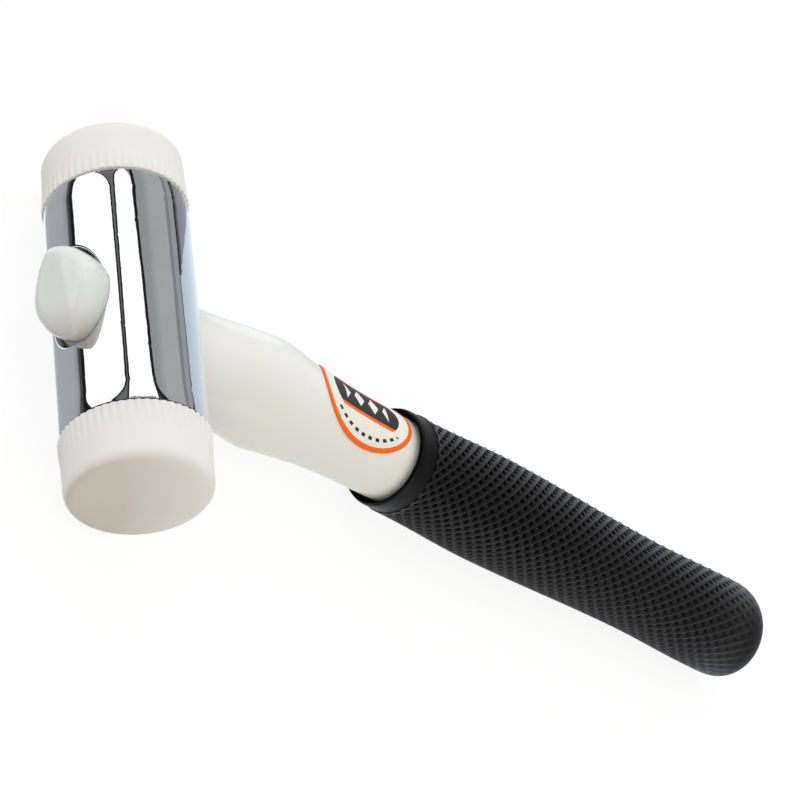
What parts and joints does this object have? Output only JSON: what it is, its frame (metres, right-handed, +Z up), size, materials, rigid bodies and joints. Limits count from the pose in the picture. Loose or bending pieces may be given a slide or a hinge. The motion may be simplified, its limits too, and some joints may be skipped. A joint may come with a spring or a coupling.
{
  "type": "soft face hammer",
  "caption": "Soft face hammer: chrome-plated cylindrical head with screw-in white nylon faces, white nylon handle through an oval eye, black knurled rubber grip.",
  "frame": {"origin": "middle of the hammer's box on the bench it lies on", "axes": "+X along the handle from the head towards the grip, Y along the head from the front to the rear face, +Z up"},
  "size_m": [0.2994, 0.1072, 0.0393],
  "materials": {
    "chrome": "bright chrome plate",
    "face_nylon": "satin moulded nylon",
    "handle_nylon": "smooth moulded nylon",
    "grip_rubber": "knurled black rubber",
    "label_print": "printed film"
  },
  "bodies": {
    "hammer": {"head": "chrome", "handle": "handle_nylon", "grip": "grip_rubber", "label": "label_print"},
    "front_face": {"front_face": "face_nylon"},
    "rear_face": {"rear_face": "face_nylon"}
  },
  "joints": [
    {"name": "front_face_unscrew", "type": "slide", "parent": "hammer", "child": "front_face", "axis": [0, -1, 0], "range_m": [0, 0.016]},
    {"name": "rear_face_unscrew", "type": "slide", "parent": "hammer", "child": "rear_face", "axis": [0, 1, 0], "range_m": [0, 0.016]}
  ]
}
